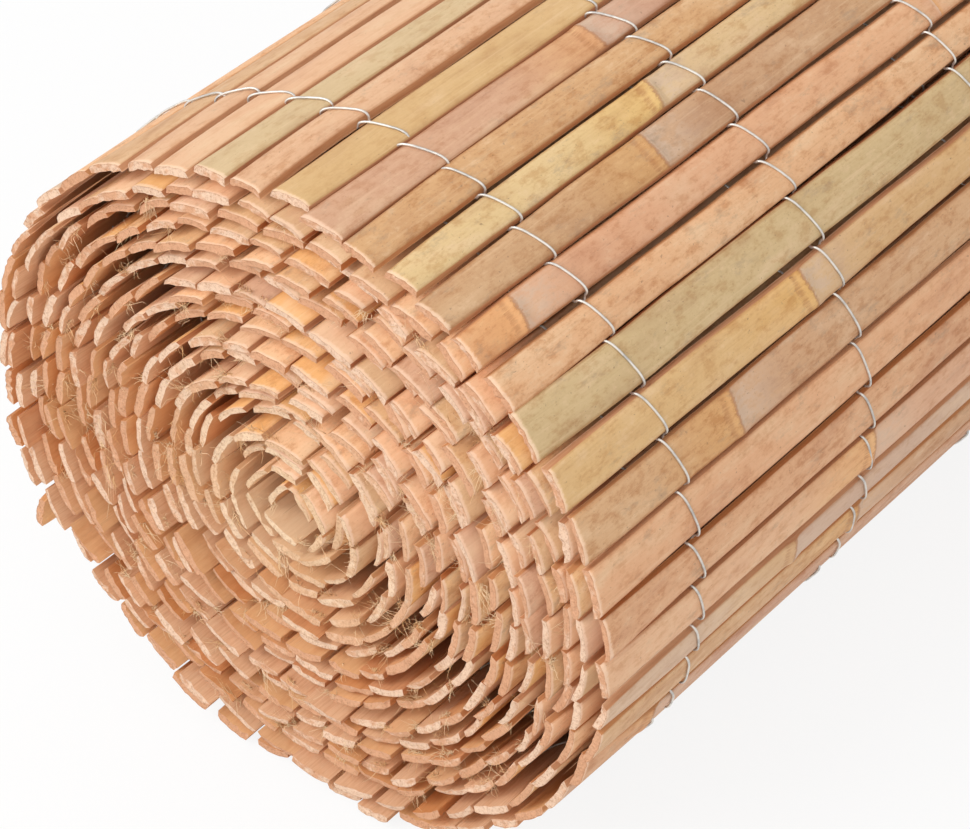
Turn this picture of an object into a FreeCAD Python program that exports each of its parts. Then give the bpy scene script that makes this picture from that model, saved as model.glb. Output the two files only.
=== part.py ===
"""Split bamboo slat fence, rolled up and lying on its side.

The roll's axis is +Y and +Z is up. The slats of the mat follow a spiral that winds outwards
anticlockwise as seen from the front end at -Y. The section of the roll sags a little under
its own weight and has a flat spot where it lies.
"""
import FreeCAD, Part
import math
import os
import random

import Sketcher

# name, value in mm (degrees for angles, whole numbers for counts), meaning
DIMENSIONS = [
    ("fence_height", 500.0, "length of a slat, along the roll"),
    ("slat_width", 10.1, "middle width of a slat"),
    ("width_step", 0.65, "step from one slat width to the next"),
    ("slat_thickness", 2.4, "thickness of a slat at its crown"),
    ("culm_radius", 34.0, "radius of the bamboo skin across a slat"),
    ("slat_gap", 0.75, "gap between neighbouring slats"),
    ("end_stagger", 1.5, "how far a slat may slide along the roll"),
    ("turn_creep", 0.6, "how far a whole turn may creep along the roll"),
    ("turn_count", 17, "turns of the mat in the roll"),
    ("turn_clearance", 0.7, "play between a turn, its wires and the next turn"),
    ("core_radius", 8.2, "radius at which the winding starts"),
    ("free_end_angle", 212.0, "where the mat's outer end lies, from +X towards +Z"),
    ("sag", 0.02, "share by which the roll is wider and lower than round"),
    ("flat_width", 38.0, "width of the flat spot under the outer turn"),
    ("wire_diameter", 0.75, "thickness of the binding wire"),
    ("wire_clearance", 0.15, "play between the wire and the slats' crowns"),
    ("wire_rows", 8, "rows of binding wire"),
    ("wire_margin", 29.5, "first and last wire row from the slats' ends"),
]
WIDTH_CLASSES = (-2, -1, 0, 1, 2)
SEED = 7
CREEP_RATE = 2.4
INNER_END_STEPS = (WIDTH_CLASSES[1], WIDTH_CLASSES[0])

doc = FreeCAD.newDocument("bamboo_fence_roll")


def make_sheet():
    """Write the driving dimensions into a spreadsheet and return it."""
    sheet = doc.addObject("Spreadsheet::Sheet", "dimensions")
    for row, (alias, value, meaning) in enumerate(DIMENSIONS, start=1):
        sheet.set(f"A{row}", alias)
        sheet.set(f"B{row}", str(value))
        sheet.set(f"C{row}", meaning)
        sheet.setAlias(f"B{row}", alias)
    doc.recompute()
    return sheet


def make_slat(sheet, step):
    """One straight slat as a body: bamboo skin on +Z, flat inside, length along Y.

    The section is a strip of a culm's wall: a flat inner face, two sides and a skin that is
    an arc of the culm's radius. The chord that follows the mat lies at half thickness.
    """
    body = doc.addObject("PartDesign::Body", f"slat_width_{step + 3}")
    plane = next(f for f in body.Origin.OriginFeatures if f.Role == "XZ_Plane")
    sketch = body.newObject("Sketcher::SketchObject", f"slat_section_{step + 3}")
    sketch.AttachmentSupport = [(plane, "")]
    sketch.MapMode = "FlatFace"

    half = (sheet.slat_width + step * sheet.width_step) / 2
    low = -sheet.slat_thickness / 2
    crown = sheet.slat_thickness / 2
    skin_centre = FreeCAD.Vector(0, crown - sheet.culm_radius, 0)
    reach = math.asin(half / sheet.culm_radius)
    edge = skin_centre.y + sheet.culm_radius * math.cos(reach)
    inner_left = FreeCAD.Vector(-half, low, 0)
    inner_right = FreeCAD.Vector(half, low, 0)
    skin_left = FreeCAD.Vector(-half, edge, 0)
    skin_right = FreeCAD.Vector(half, edge, 0)

    up = FreeCAD.Vector(0, 0, 1)
    culm = Part.Circle(skin_centre, up, sheet.culm_radius)
    inner = sketch.addGeometry(Part.LineSegment(inner_left, inner_right))
    right = sketch.addGeometry(Part.LineSegment(inner_right, skin_right))
    skin = sketch.addGeometry(Part.ArcOfCircle(culm, math.pi / 2 - reach, math.pi / 2 + reach))
    left = sketch.addGeometry(Part.LineSegment(skin_left, inner_left))

    add = sketch.addConstraint
    add(Sketcher.Constraint("Coincident", inner, 2, right, 1))
    add(Sketcher.Constraint("Coincident", right, 2, skin, 1))
    add(Sketcher.Constraint("Coincident", skin, 2, left, 1))
    add(Sketcher.Constraint("Coincident", left, 2, inner, 1))
    add(Sketcher.Constraint("Vertical", right))
    add(Sketcher.Constraint("Vertical", left))
    add(Sketcher.Constraint("Symmetric", inner, 1, inner, 2, -2))
    add(Sketcher.Constraint("PointOnObject", skin, 3, -2))
    width = add(Sketcher.Constraint("DistanceX", inner, 1, inner, 2, 2 * half))
    depth = add(Sketcher.Constraint("DistanceY", inner, 1, -1, 1, -low))
    radius = add(Sketcher.Constraint("Radius", skin, sheet.culm_radius))
    centre = add(Sketcher.Constraint("DistanceY", skin, 3, -1, 1, -skin_centre.y))
    sketch.setExpression(
        f"Constraints[{width}]", f"dimensions.slat_width + {step} * dimensions.width_step")
    sketch.setExpression(f"Constraints[{depth}]", "dimensions.slat_thickness / 2")
    sketch.setExpression(f"Constraints[{radius}]", "dimensions.culm_radius")
    sketch.setExpression(
        f"Constraints[{centre}]", "dimensions.culm_radius - dimensions.slat_thickness / 2")

    pad = body.newObject("PartDesign::Pad", f"slat_length_{step + 3}")
    pad.Profile = sketch
    pad.SideType = "Symmetric"
    pad.setExpression("Length", "dimensions.fence_height")
    sketch.Visibility = False
    return body


class Winding:
    """The spiral that the middle of the slats follows, in the roll's X-Z section.

    At unwound angle a the radius is core_radius + pitch * a / (2 pi), and it drifts within the
    play between the turns, so that some lie tight and some leave a gap. The section is stretched
    by sag in X and shrunk by it in Z, and each turn is cut level at the flat spot.
    """

    DRIFT_RATE = 0.62

    def __init__(self, sheet):
        self.core = sheet.core_radius
        self.thickness = sheet.slat_thickness
        self.gap = sheet.slat_gap
        self.sag = sheet.sag
        self.turns = int(sheet.turn_count)
        self.play = sheet.turn_clearance / 2
        self.pitch = sheet.slat_thickness + 2 * sheet.wire_diameter + sheet.turn_clearance
        self.end = 2 * math.pi * self.turns
        self.start_angle = math.radians(sheet.free_end_angle) - self.end
        flat_share = sheet.flat_width / 2 / self.radius(self.end)
        self.flat_level = math.sqrt(1 - flat_share ** 2)

    def radius(self, a):
        drift = self.play * math.sin(self.DRIFT_RATE * a)
        return self.core + self.pitch * a / (2 * math.pi) + drift

    def lowest(self, a):
        """Unwound angle at the bottom of the turn that passes a."""
        bottom = -math.pi / 2 - self.start_angle
        return bottom + 2 * math.pi * round((a - bottom) / (2 * math.pi))

    def point(self, a):
        angle = a + self.start_angle
        radius = self.radius(a)
        floor = -self.flat_level * self.radius(self.lowest(a))
        x = radius * math.cos(angle) * (1 + self.sag)
        z = max(radius * math.sin(angle), floor) * (1 - self.sag)
        return FreeCAD.Vector(x, 0, z)

    def along(self, a, length):
        """Unwound angle whose point lies the straight length away from the point at a.

        A negative length leads back towards the core.
        """
        here = self.point(a)
        ahead = a + length / self.radius(a)
        for _ in range(24):
            straight = here.distanceToPoint(self.point(ahead))
            missing = length - math.copysign(straight, length)
            ahead += missing / self.radius(ahead)
        return ahead

    def next_start(self, slat, a, next_width):
        """Where the next slat starts: the gap is clear at the slats' inner corners.

        A negative width asks for the slat before, on the way back towards the core.
        """
        gap = self.gap
        for _ in range(6):
            start = self.along(a, math.copysign(gap, next_width))
            run = self.point(self.along(start, next_width)) - self.point(start)
            bend = slat.along.getAngle(run * math.copysign(1, next_width))
            gap = self.gap + self.thickness * math.sin(bend / 2)
        return start


class Slat:
    """Where one slat lies: turn, width step, its edges in X-Z and its slide along Y."""

    def __init__(self, turn, step, first, last):
        self.turn = turn
        self.step = step
        self.first = first
        self.last = last
        self.slide = 0.0
        self.along = (last - first).normalize()
        self.normal = FreeCAD.Vector(self.along.z, 0, -self.along.x)

    def placement(self, shift):
        turn = FreeCAD.Rotation(FreeCAD.Vector(0, 0, 1), self.normal)
        middle = (self.first + self.last) / 2
        return FreeCAD.Placement(middle + FreeCAD.Vector(0, self.slide, 0) + shift, turn)


def lay_slats(sheet, winding):
    """Walk along the winding and set down slat after slat, each a chord of the spiral."""
    chance = random.Random(SEED)
    slats = []
    a = 0.0
    step = chance.choice(WIDTH_CLASSES)
    while True:
        width = sheet.slat_width + step * sheet.width_step
        far = winding.along(a, width)
        if far > winding.end:
            return slats
        turn = int((a + far) / 2 / (2 * math.pi))
        slats.append(Slat(turn, step, winding.point(a), winding.point(far)))
        step = chance.choice(WIDTH_CLASSES)
        next_width = sheet.slat_width + step * sheet.width_step
        a = winding.next_start(slats[-1], far, next_width)


def fold_inner_end(sheet, winding, slats):
    """Set down the mat's first slats, folded into the core, backwards from the winding's start."""
    a = 0.0
    for step in INNER_END_STEPS:
        width = sheet.slat_width + step * sheet.width_step
        near = winding.next_start(slats[0], a, -width)
        a = winding.along(near, -width)
        slats.insert(0, Slat(0, step, winding.point(a), winding.point(near)))


def slide_turn(sheet, slats):
    """Slide a turn's slats along the roll, in mixed order, on top of the turn's own creep.

    The slides are end_stagger * x * |x| for even steps of x from -1 to 1, so that most ends
    are nearly flush and a few stand out.
    """
    turn = slats[0].turn
    creep = sheet.turn_creep * math.sin(CREEP_RATE * turn)
    last = max(len(slats) - 1, 1)
    steps = [2 * i / last - 1 for i in range(len(slats))]
    random.Random(SEED + turn).shuffle(steps)
    for slat, step in zip(slats, steps):
        slat.slide = creep + sheet.end_stagger * step * abs(step)


def add_node(label, shape):
    """A sub-part whose shape is set by code, under the label that names its file."""
    node = doc.addObject("Part::Feature", label)
    node.Label = label
    node.Shape = shape
    node.Placement = FreeCAD.Placement()
    return node


def slat_turn(bodies, slats, shift):
    """One turn of the mat: copies of the straight slats, set along the spiral."""
    solids = []
    for slat in slats:
        solid = bodies[slat.step].Shape.Solids[0].copy()
        solid.Placement = slat.placement(shift)
        solids.append(solid)
    return Part.Compound(solids)


def flat_face(*corners):
    return Part.Face(Part.makePolygon(corners + corners[:1]))


def mitred(points, outwards, height):
    """The points moved outwards by height over the runs between them, mitred at each point."""
    before = outwards[:1] + outwards
    after = outwards + outwards[-1:]
    mitres = [(one + two) / (1 + one.dot(two)) for one, two in zip(before, after)]
    return [point + mitre * height for point, mitre in zip(points, mitres)]


class WirePath:
    """Run of the binding wire over the outer turn, in X-Z: level over each slat, bent at the gaps.

    The wire is three-sided: a flat base on the slats and a ridge outwards.
    """

    def __init__(self, sheet, slats):
        self.size = sheet.wire_diameter
        gaps = [(one.last + two.first) / 2 for one, two in zip(slats, slats[1:])]
        edges = [slats[0].first] + gaps + [slats[-1].last]
        normals = [slat.normal for slat in slats]
        self.base = mitred(edges, normals, sheet.slat_thickness / 2 + sheet.wire_clearance)
        runs = [(b - a).normalize() for a, b in zip(self.base, self.base[1:])]
        outwards = [FreeCAD.Vector(run.z, 0, -run.x) for run in runs]
        self.ridge = mitred(self.base, outwards, self.size)

    def solid(self, place):
        """The row of wire, moved by place."""
        side = FreeCAD.Vector(0, self.size / 2, 0)
        rings = []
        for base, ridge in zip(self.base, self.ridge):
            rings.append((base - side + place, base + side + place, ridge + place))
        faces = [flat_face(*rings[0]), flat_face(*rings[-1])]
        for one, two in zip(rings, rings[1:]):
            for i, j in ((0, 1), (1, 2), (2, 0)):
                faces.append(flat_face(one[i], one[j], two[j], two[i]))
        solid = Part.makeSolid(Part.makeShell(faces))
        if solid.Volume < 0:
            solid.reverse()
        return solid


def rest_shift(slats, wire_path):
    """Move that puts the origin at the bottom centre of the roll's box."""
    xs = [point.x for point in wire_path.ridge]
    slides = [slat.slide for slat in slats]
    low = min(point.z for point in wire_path.ridge)
    return FreeCAD.Vector(-(max(xs) + min(xs)) / 2, -(max(slides) + min(slides)) / 2, -low)


def check(objects):
    for thing in objects:
        if "Invalid" in thing.State or "Error" in thing.State:
            raise RuntimeError(f"{thing.Label} failed: {thing.State}")
        if hasattr(thing, "Shape") and (thing.Shape.isNull() or not thing.Shape.isValid()):
            raise RuntimeError(f"{thing.Label} has no valid shape")


sheet = make_sheet()
bodies = {step: make_slat(sheet, step) for step in WIDTH_CLASSES}
doc.recompute()
check(bodies.values())

winding = Winding(sheet)
slats = lay_slats(sheet, winding)
fold_inner_end(sheet, winding, slats)
turns = [[slat for slat in slats if slat.turn == turn] for turn in range(winding.turns)]
for members in turns:
    slide_turn(sheet, members)
wire_path = WirePath(sheet, turns[-1])
shift = rest_shift(slats, wire_path)

nodes = []
for number, members in enumerate(turns, start=1):
    nodes.append(add_node(f"slats_turn_{number:02d}", slat_turn(bodies, members, shift)))

wire_count = int(sheet.wire_rows)
first_row = -sheet.fence_height / 2 + sheet.wire_margin
row_spacing = (sheet.fence_height - 2 * sheet.wire_margin) / (wire_count - 1)
for row in range(wire_count):
    place = FreeCAD.Vector(0, first_row + row * row_spacing, 0) + shift
    nodes.append(add_node(f"wire_row_{row + 1}", wire_path.solid(place)))

doc.recompute()
check(doc.Objects)
os.makedirs("parts", exist_ok=True)
for node in nodes:
    node.Shape.exportStep(f"parts/{node.Label}.step")

box = Part.Compound([node.Shape for node in nodes]).BoundBox
print(f"{len(slats)} slats, mat {len(slats) * (sheet.slat_width + sheet.slat_gap) / 1000:.2f} m")
print(f"box {box.XLength:.1f} x {box.YLength:.1f} x {box.ZLength:.1f} mm")
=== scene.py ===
"""Looks of a split bamboo slat fence, rolled up and lying on its side.

The slats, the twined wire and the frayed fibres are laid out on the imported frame, in metres:
+Y is the roll's axis, with the front end at -Y, and +Z is up.
"""
import math

import bpy
import numpy as np
from mathutils import Color, Matrix, Vector


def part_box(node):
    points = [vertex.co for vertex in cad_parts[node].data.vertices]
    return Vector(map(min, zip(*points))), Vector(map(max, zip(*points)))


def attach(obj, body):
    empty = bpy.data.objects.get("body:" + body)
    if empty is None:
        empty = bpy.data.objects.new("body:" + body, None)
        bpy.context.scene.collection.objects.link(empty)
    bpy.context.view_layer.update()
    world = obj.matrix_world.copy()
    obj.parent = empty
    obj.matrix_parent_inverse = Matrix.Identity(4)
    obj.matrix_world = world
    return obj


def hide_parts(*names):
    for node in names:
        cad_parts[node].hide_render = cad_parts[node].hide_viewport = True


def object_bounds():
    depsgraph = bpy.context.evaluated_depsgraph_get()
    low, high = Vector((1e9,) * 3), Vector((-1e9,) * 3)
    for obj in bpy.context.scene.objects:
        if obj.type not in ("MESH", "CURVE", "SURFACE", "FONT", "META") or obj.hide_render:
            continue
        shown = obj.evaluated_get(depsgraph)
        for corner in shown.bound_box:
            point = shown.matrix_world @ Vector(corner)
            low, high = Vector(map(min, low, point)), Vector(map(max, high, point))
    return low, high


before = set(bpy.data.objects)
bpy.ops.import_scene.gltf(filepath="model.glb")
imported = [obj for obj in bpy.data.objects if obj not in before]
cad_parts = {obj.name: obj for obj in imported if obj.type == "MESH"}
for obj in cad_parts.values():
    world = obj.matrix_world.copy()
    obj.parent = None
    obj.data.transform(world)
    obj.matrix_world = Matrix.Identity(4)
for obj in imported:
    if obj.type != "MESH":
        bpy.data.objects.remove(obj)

bl_info = {
    "name": "Rolled bamboo fence",
    "version": (1, 0, 0),
    "blender": (4, 5, 0),
    "location": "View3D > Sidebar > Fence",
    "description": "Builds the slats, twined wire and frayed ends of a rolled bamboo fence",
    "category": "Object",
}

CAD_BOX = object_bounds()
MM = 0.001
SLAT_SEED = 11
FIBRE_SEED = 12
WIRE_SEED = 13
THICKNESS_SEED = 14
TURNS = sorted(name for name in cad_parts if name.startswith("slats_turn_"))
ROWS = sorted(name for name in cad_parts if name.startswith("wire_row_"))
OUTER_TURN = len(TURNS) - 1
AXIS = np.array((0.0, 1.0, 0.0))
SLAT_LENGTH = 0.5

# Angle of the mat's free end round the roll, from +X towards +Z.
FREE_END = math.radians(212)

# Length of a slat's loose end past the last row of wire, and the most that it strays outward.
LOOSE = 28 * MM
STRAY = 0.8 * MM

# Slats of the outer turn from the upper left round to the right: tone, and the distance in mm
# of a bamboo node from the front end, or None where no node shows.
SHOWN_FROM = math.radians(126)
SHOWN_SLATS = [
    ("tan", None), ("peach", None), ("peach", None), ("olive", None), ("peach", None),
    ("golden", None), ("pink", 88), ("veined", None), ("straw", 83), ("tan", 72),
    ("orange", 16), ("mottled", None), ("khaki", None), ("golden", 85), ("tan", 52),
    ("orange", None), ("orange", None), ("peach", 96), ("grey", 67), ("tan", 95),
]

# Shades that multiply the bamboo's colours, as shares of red, green and blue.
CLOUDED = (0.82, 0.74, 0.72)
BLOTCHED = (0.80, 0.67, 0.56)
FLECKED = (0.78, 0.68, 0.59)
STREAKED = (0.80, 0.72, 0.65)
SUNNED = (1.0, 0.87, 0.6)
ROSY = (0.90, 0.85, 0.90)
SPLIT_EDGE = (0.80, 0.64, 0.50)
RUSTY = (0.82, 0.58, 0.40)
# Painted shade on a slat's split sides, which face the shaded gaps between the slats.
PAINTED_GAP_SHADE = (0.72, 0.56, 0.45)
STAINED = (0.82, 0.68, 0.58)


def srgb(red, green, blue):
    """A colour as the eye reads it, 0 to 255, as linear values."""
    return tuple(Color((red / 255, green / 255, blue / 255)).from_srgb_to_scene_linear())


def colour(name, default):
    return bpy.props.FloatVectorProperty(
        name=name, description=f"Colour of the {name.lower()}", subtype="COLOR", size=3,
        min=0.0, max=1.0, default=default)


def length(name, description, default):
    return bpy.props.FloatProperty(
        name=name, description=description, unit="LENGTH", precision=5, default=default)


class FenceTones(bpy.types.PropertyGroup):
    """Colours of the bamboo and of the wire."""
    peach: colour("Peach skin", srgb(226, 180, 142))
    pink: colour("Pink skin", srgb(209, 163, 131))
    golden: colour("Golden skin", srgb(217, 178, 125))
    straw: colour("Straw skin", srgb(220, 189, 138))
    olive: colour("Olive skin", srgb(209, 181, 139))
    khaki: colour("Khaki skin", srgb(203, 175, 130))
    tan: colour("Tan skin", srgb(209, 166, 124))
    mottled: colour("Mottled skin", srgb(230, 180, 136))
    veined: colour("Veined skin", srgb(216, 169, 121))
    orange: colour("Orange skin", srgb(221, 170, 130))
    grey: colour("Grey skin", srgb(212, 180, 152))
    amber: colour("Amber skin", srgb(226, 170, 108))
    pale: colour("Pale patches", srgb(232, 200, 162))
    bloom: colour("Node bloom", srgb(218, 192, 168))
    scar: colour("Node scar", srgb(168, 112, 72))
    speck: colour("Specks", srgb(122, 88, 64))
    smudge: colour("Smudges", srgb(160, 134, 110))
    split: colour("Split face", srgb(214, 163, 126))
    split_pale: colour("Pale split face", srgb(232, 189, 152))
    seam: colour("Split seams", srgb(160, 108, 74))
    pith: colour("Pith", srgb(237, 203, 175))
    cream: colour("Cream strips at the core", srgb(240, 212, 172))
    grain: colour("End grain", srgb(219, 166, 130))
    bundle: colour("Fibre bundles", srgb(176, 121, 84))
    fibre: colour("Torn fibres", srgb(226, 178, 122))
    zinc: colour("Galvanised wire", srgb(222, 217, 209))
    dull_zinc: colour("Dull patches of the wire", srgb(166, 163, 160))


class FenceSizes(bpy.types.PropertyGroup):
    """Sizes of the fine shapes."""
    edge_round: length("Edge rounding", "How far a slat's long edges are rounded off", 0.36 * MM)
    hollow: length("Hollow", "Greatest hollow of a slat's inner face", 0.8 * MM)
    bevel: length("Bevel", "How far the skin is narrower than the slat on each side", 0.5 * MM)
    skew: length("Skew", "How far a slat lies askew at its ends", 0.35 * MM)
    edge_wave: length("Edge wave", "How far a split edge wanders along a slat", 0.34 * MM)
    node_ridge: length("Node ridge", "Height of the ridge at a bamboo node", 0.7 * MM)
    cut_jag: length("Cut jag", "How ragged the sawn ends are", 0.21 * MM)
    fray: length("Fray", "How far the outline of a sawn end is torn", 0.07 * MM)
    end_lift: length("End lift", "How far a loose slat end strays outward or inward", 0.45 * MM)
    end_slide: length("End slide", "How far a loose slat end strays sideways", 0.22 * MM)
    end_twist: bpy.props.FloatProperty(
        name="End twist", description="How far a loose slat end turns about the slat",
        subtype="ANGLE", default=0.1)
    free_lift: length("Free end lift", "How far the last slat lifts at its front", 3.4 * MM)
    wire_radius: length("Wire radius", "Radius of the binding wire", 0.29 * MM)
    wire_play: length("Wire play", "Clearance between the wire and the skin", 0.1 * MM)
    wire_tail: length("Wire tail", "Length of the twisted wire ends past the last slat", 11 * MM)
    stitch: length("Stitch", "How far a strand sways along the roll over one slat", 1.8 * MM)
    row_lag: length("Row lag", "How far the rows of the outer turn lie further back", 2.2 * MM)
    row_drift: length(
        "Row drift", "How far the rows of the inner turns lie nearer the front", 6 * MM)
    fibre_radius: length("Fibre radius", "Radius of a frayed fibre at its root", 0.09 * MM)
    fibre_count: bpy.props.IntProperty(
        name="Fibres", description="Frayed fibres on both ends together", default=7000, min=1)


class FenceStage(bpy.types.PropertyGroup):
    """Camera and floor."""
    azimuth: bpy.props.FloatProperty(
        name="Azimuth", description="Camera's turn about the vertical, from the front end",
        subtype="ANGLE", default=0.67829)
    elevation: bpy.props.FloatProperty(
        name="Elevation", description="Camera's height above the horizon",
        subtype="ANGLE", default=0.68718)
    distance: length("Distance", "From the camera to the plane of the front end", 0.7543)
    aim_right: length("Aim right", "How far right of the front end's middle it looks", 0.04303)
    aim_up: length("Aim up", "How far above the front end's middle it looks", 0.01919)
    lens: bpy.props.FloatProperty(
        name="Lens", description="Focal length in mm on a 36 mm sensor", default=129.9)
    floor_size: length("Floor", "Side of the floor", 8.0)


def settings():
    return bpy.context.scene.fence_tones, bpy.context.scene.fence_sizes


class Mat:
    """The slats in their order along the mat, from the core to the free end.

    Arrays over the slats: turn, middle (x, z), tangent, normal, width, thickness, front (y) and
    angle round the roll. The thickness is a little off the solid's, mostly thinner.
    """
    # Reading a slat: the slice at its front, and how its corners are merged and joined.
    SECTION = 1 * MM
    MERGE_DIGITS = 7
    JOIN_PASSES = 12

    # Order: the angle that is near the free end, and the reach of the slats folded in.
    NEAR_FREE_END = 0.6
    FOLDED = 6 * MM

    # Limits of the thickness that chance adds or takes.
    THICKER = 0.05 * MM
    THINNER = 0.55 * MM
    OUTER_THINNER = 0.3 * MM

    def __init__(self):
        low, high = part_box(TURNS[0])
        self.centre = (np.array(low) + np.array(high))[::2] / 2
        turns = [self.read_turn(name) for name in TURNS]
        self.turn = np.concatenate([np.full(len(rows), i) for i, rows in enumerate(turns)])
        rows = np.concatenate(turns)
        self.middle = rows[:, 0:2]
        self.normal = rows[:, 2:4]
        self.tangent = np.stack((-self.normal[:, 1], self.normal[:, 0]), axis=1)
        self.width = rows[:, 4]
        chance = np.random.default_rng(THICKNESS_SEED)
        thinner = np.where(self.turn == OUTER_TURN, self.OUTER_THINNER, self.THINNER)
        self.thickness = rows[:, 5] - chance.uniform(-self.THICKER, thinner)
        self.front = rows[:, 6]
        self.angle = self.round_core(self.middle)[0]

    def round_core(self, middles):
        """Angle round the core and distance from it."""
        away = middles - self.centre
        return np.arctan2(away[:, 1], away[:, 0]), np.linalg.norm(away, axis=1)

    @staticmethod
    def read(items, key, kind, width):
        """One value of every vertex, corner or face of a mesh as an array."""
        values = np.empty(len(items) * width, kind)
        items.foreach_get(key, values)
        return values.reshape(-1, width)

    def read_turn(self, name):
        """A turn's slats in order, each read from its own joined triangles.

        The largest triangles of a slat are its flat inner face, so they give its normal.
        """
        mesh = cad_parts[name].data
        points = self.read(mesh.vertices, "co", np.float32, 3).astype(float)
        corners = self.read(mesh.loops, "vertex_index", np.int32, 1).reshape(-1, 3)
        normals = self.read(mesh.polygons, "normal", np.float32, 3)[:, ::2].astype(float)
        areas = self.read(mesh.polygons, "area", np.float32, 1)[:, 0]
        labels = self.joined(points, corners)
        slats = []
        for label in np.unique(labels):
            own = labels[corners[:, 0]] == label
            normal = -normals[own][areas[own].argmax()]
            normal /= np.linalg.norm(normal)
            tangent = np.array((-normal[1], normal[0]))
            section = points[labels == label]
            level = section[:, 1].min()
            section = section[section[:, 1] < level + self.SECTION][:, ::2]
            across = section @ tangent
            outward = section @ normal
            middle = tangent * (across.max() + across.min()) / 2
            middle += normal * (outward.max() + outward.min()) / 2
            slats.append((*middle, *normal, np.ptp(across), np.ptp(outward), level))
        slats = np.array(slats)
        return slats[self.unwound(slats[:, 0:2]).argsort()]

    def joined(self, points, corners):
        """A label for each vertex that it shares with every vertex it is joined to.

        Each pass gives a triangle's corners the least of their labels, and a slat has few corners.
        """
        rounded = points.round(self.MERGE_DIGITS)
        same = np.unique(rounded, axis=0, return_inverse=True)[1].ravel()
        faces = same[corners]
        labels = np.arange(same.max() + 1)
        for _ in range(self.JOIN_PASSES):
            least = labels[faces].min(axis=1, keepdims=True)
            np.minimum.at(labels, faces, np.broadcast_to(least, faces.shape))
        return labels[same]

    def unwound(self, middles):
        """Angle of each slat past the free end's angle, within one turn of the spiral.

        Near that angle the inner slats start the turn and the outer ones end it. The slats that
        are folded into the core come a turn before the others.
        """
        angle, reach = self.round_core(middles)
        angle = (angle - FREE_END) % math.tau
        late = angle > math.pi
        near = np.minimum(angle, math.tau - angle) < self.NEAR_FREE_END
        if near.any():
            inner = reach < (reach[near].min() + reach[near].max()) / 2
            angle = angle - math.tau * (near & late & inner)
            angle = angle + math.tau * (near & ~late & ~inner)
        return angle - math.tau * (reach < self.FOLDED)


def add_mesh(name, points, faces, smooth, materials, slots):
    """A mesh object from whole arrays: faces and smooth flags and material slots go together.

    faces is a list of arrays of corner numbers, and each array has one count of corners.
    """
    mesh = bpy.data.meshes.new(name)
    mesh.vertices.add(len(points))
    mesh.vertices.foreach_set("co", points.astype(np.float32).ravel())
    sizes = np.concatenate([np.full(len(part), part.shape[1]) for part in faces])
    corners = np.concatenate([part.ravel() for part in faces])
    mesh.loops.add(len(corners))
    mesh.loops.foreach_set("vertex_index", corners.astype(np.int32))
    mesh.polygons.add(len(sizes))
    mesh.polygons.foreach_set("loop_start", (np.cumsum(sizes) - sizes).astype(np.int32))
    mesh.polygons.foreach_set("use_smooth", np.concatenate(smooth))
    mesh.polygons.foreach_set("material_index", np.concatenate(slots).astype(np.int32))
    for material in materials:
        mesh.materials.append(material)
    mesh.update(calc_edges=True)
    thing = bpy.data.objects.new(name, mesh)
    bpy.context.scene.collection.objects.link(thing)
    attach(thing, "root")
    return thing


def add_attribute(thing, name, shape, values):
    """A vector for each vertex, from three arrays, which the materials read by its name."""
    layer = thing.data.attributes.new(name, "FLOAT_VECTOR", "POINT")
    vectors = np.stack([np.broadcast_to(value, shape) for value in values], axis=-1)
    layer.data.foreach_set("vector", vectors.astype(np.float32).ravel())


def tubes(paths, radii, sides):
    """Round tubes along paths: ring by ring, point + radius * (cos a * one + sin a * two).

    one is square to the path and to the roll's axis, and two is square to the path and to one.
    Returns the points, and the faces of the walls and of the two ends.
    """
    count, steps = paths.shape[:2]
    runs = np.gradient(paths, axis=1)
    runs /= np.linalg.norm(runs, axis=2, keepdims=True)
    one = np.cross(runs, AXIS)
    one /= np.linalg.norm(one, axis=2, keepdims=True)
    two = np.cross(runs, one)
    turn = np.arange(sides) * math.tau / sides
    ring = one[:, :, None] * np.cos(turn)[:, None] + two[:, :, None] * np.sin(turn)[:, None]
    points = paths[:, :, None] + ring * radii[:, :, None, None]
    number = np.arange(count * steps * sides).reshape(count, steps, sides)
    beside = np.roll(number, -1, axis=2)
    walls = np.stack((number[:, :-1], beside[:, :-1], beside[:, 1:], number[:, 1:]), axis=-1)
    ends = np.concatenate((number[:, 0, ::-1], number[:, -1]))
    return points.reshape(-1, 3), walls.reshape(-1, 4), ends


def add_tubes(name, groups, material):
    """One object from groups of tubes, with smooth walls and flat ends."""
    points, faces, smooth = [], [], []
    start = 0
    for tube, walls, ends in groups:
        points.append(tube)
        faces += [walls + start, ends + start]
        smooth += [np.ones(len(walls), bool), np.zeros(len(ends), bool)]
        start += len(tube)
    slots = [np.zeros(len(part)) for part in faces]
    return add_mesh(name, np.concatenate(points), faces, smooth, [material], slots)


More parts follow.
